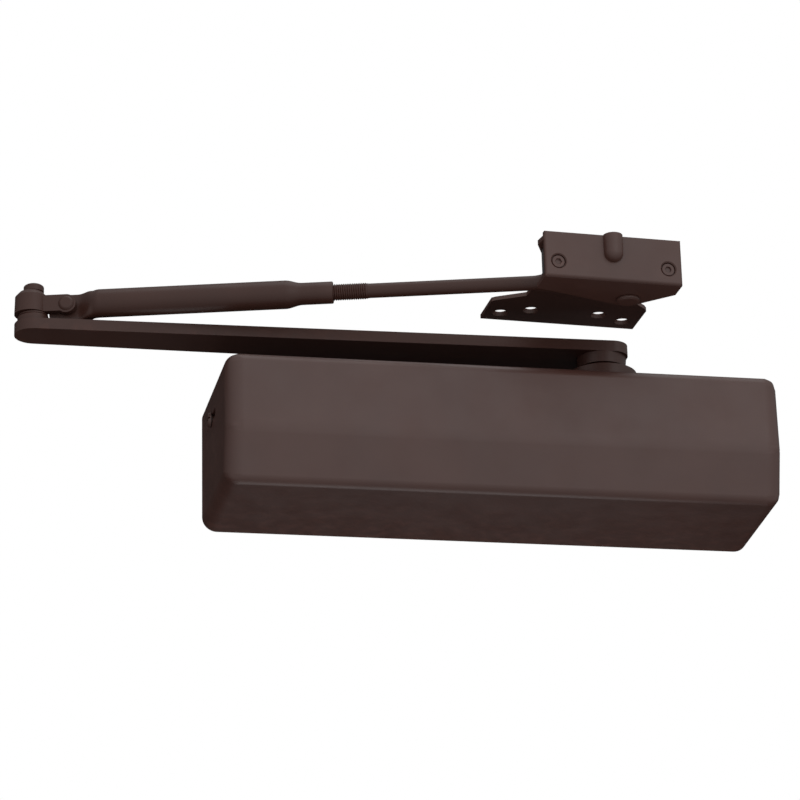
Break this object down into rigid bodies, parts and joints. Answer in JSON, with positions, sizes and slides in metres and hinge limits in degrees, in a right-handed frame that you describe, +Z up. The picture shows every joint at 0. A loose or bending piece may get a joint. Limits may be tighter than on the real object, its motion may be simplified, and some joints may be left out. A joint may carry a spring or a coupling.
{
  "type": "surface door closer",
  "caption": "Surface-mounted hydraulic door closer with a faceted cover, flat main arm, tubular adjustable forearm and a soffit shoe with a mounting plate.",
  "frame": {"origin": "centre of the body's four mounting holes on the door's face", "axes": "+X along the cover towards the spindle, +Y into the door, +Z up"},
  "size_m": [0.4352, 0.1529, 0.1315],
  "materials": {
    "cover_paint": "satin dark bronze",
    "arm_paint": "satin dark bronze",
    "shoe_paint": "satin dark bronze",
    "cast_body": "as cast",
    "steel": "ground",
    "spring_steel": "oiled",
    "brass": "turned",
    "seal_rubber": "matte"
  },
  "bodies": {
    "frame": {"closer_body": "cast_body", "cover": "cover_paint", "cover_brackets": "steel", "bracket_screws": "steel", "cover_screws": "cover_paint", "left_end_plug": "cast_body", "right_end_plug": "cast_body", "end_seals": "seal_rubber", "upper_bearing": "steel", "lower_bearing": "steel", "upper_spindle_cap": "cover_paint", "lower_spindle_cap": "cast_body", "spindle_seal": "seal_rubber", "outer_spring": "spring_steel", "inner_spring": "spring_steel"},
    "arm": {"spindle": "steel", "dust_skirt": "arm_paint", "main_arm": "arm_paint", "arm_screw": "arm_paint", "elbow_stud": "arm_paint", "elbow_washer": "arm_paint", "elbow_cap": "arm_paint"},
    "piston": {"piston": "steel", "piston_ring": "seal_rubber", "check_valve": "brass"},
    "spring_seat": {"spring_seat": "steel"},
    "power_screw": {"power_screw": "steel"},
    "sweep_valve": {"sweep_valve": "brass"},
    "latch_valve": {"latch_valve": "brass"},
    "backcheck_valve": {"backcheck_valve": "brass"},
    "knuckle": {"elbow_knuckle": "arm_paint", "tongue_rivet": "arm_paint"},
    "forearm": {"forearm_tube": "arm_paint"},
    "rod": {"forearm_rod": "arm_paint", "pin_bushing": "brass"},
    "shoe": {"shoe_housing": "shoe_paint", "soffit_plate": "shoe_paint", "shoe_pin": "shoe_paint", "left_stop_block": "steel", "right_stop_block": "steel", "shoe_screws": "shoe_paint", "stop_spring": "spring_steel"},
    "plunger": {"stop_plunger": "steel"}
  },
  "joints": [
    {"name": "spindle_turn", "type": "hinge", "parent": "frame", "child": "arm", "pos_m": [0.0665, -0.046, 0], "axis": [0, 0, 1], "range_deg": [0, 170], "stiffness_Nm_per_rad": 8, "springref_deg": -114.59},
    {"name": "piston_slide", "type": "slide", "parent": "frame", "child": "piston", "axis": [1, 0, 0], "range_m": [-0.0328, 0], "deforming": ["outer_spring", "inner_spring"]},
    {"name": "power_screw_turn", "type": "hinge", "parent": "frame", "child": "power_screw", "pos_m": [-0.12, -0.046, 0], "axis": [1, 0, 0], "range_deg": [0, 1440.01]},
    {"name": "seat_slide", "type": "slide", "parent": "frame", "child": "spring_seat", "axis": [1, 0, 0], "range_m": [0, 0.008], "deforming": ["outer_spring", "inner_spring"]},
    {"name": "sweep_valve_turn", "type": "hinge", "parent": "frame", "child": "sweep_valve", "pos_m": [0.112, -0.07, -0.018], "axis": [0, -1, 0], "range_deg": [-180, 180]},
    {"name": "latch_valve_turn", "type": "hinge", "parent": "frame", "child": "latch_valve", "pos_m": [0.096, -0.07, -0.018], "axis": [0, -1, 0], "range_deg": [-180, 180]},
    {"name": "backcheck_valve_turn", "type": "hinge", "parent": "frame", "child": "backcheck_valve", "pos_m": [0.024, -0.07, -0.018], "axis": [0, -1, 0], "range_deg": [-180, 180]},
    {"name": "elbow_turn", "type": "hinge", "parent": "arm", "child": "knuckle", "pos_m": [-0.26217, -0.04141, 0.08], "axis": [0, 0, 1], "range_deg": [-150, 0]},
    {"name": "forearm_tilt", "type": "hinge", "parent": "knuckle", "child": "forearm", "pos_m": [-0.24334, -0.0461, 0.0792], "axis": [-0.2419, -0.9703, 0], "range_deg": [0, 8]},
    {"name": "rod_slide", "type": "slide", "parent": "forearm", "child": "rod", "axis": [0.9703, -0.2419, 0], "range_m": [-0.01, 0.01]},
    {"name": "shoe_turn", "type": "hinge", "parent": "rod", "child": "shoe", "pos_m": [0.06405, -0.12275, 0.0802], "axis": [0, 0, 1], "range_deg": [0, 110]},
    {"name": "plunger_slide", "type": "slide", "parent": "shoe", "child": "plunger", "axis": [-0.9986, -0.0523, 0], "range_m": [0, 0.005], "stiffness_N_per_m": 2000, "springref_m": -0.004, "deforming": ["stop_spring"]}
  ],
  "couplings": [
    {"joint": "piston_slide", "follows": "spindle_turn", "m_per_rad": -0.011},
    {"joint": "power_screw_turn", "follows": "seat_slide", "rad_per_m": 3141.6}
  ]
}
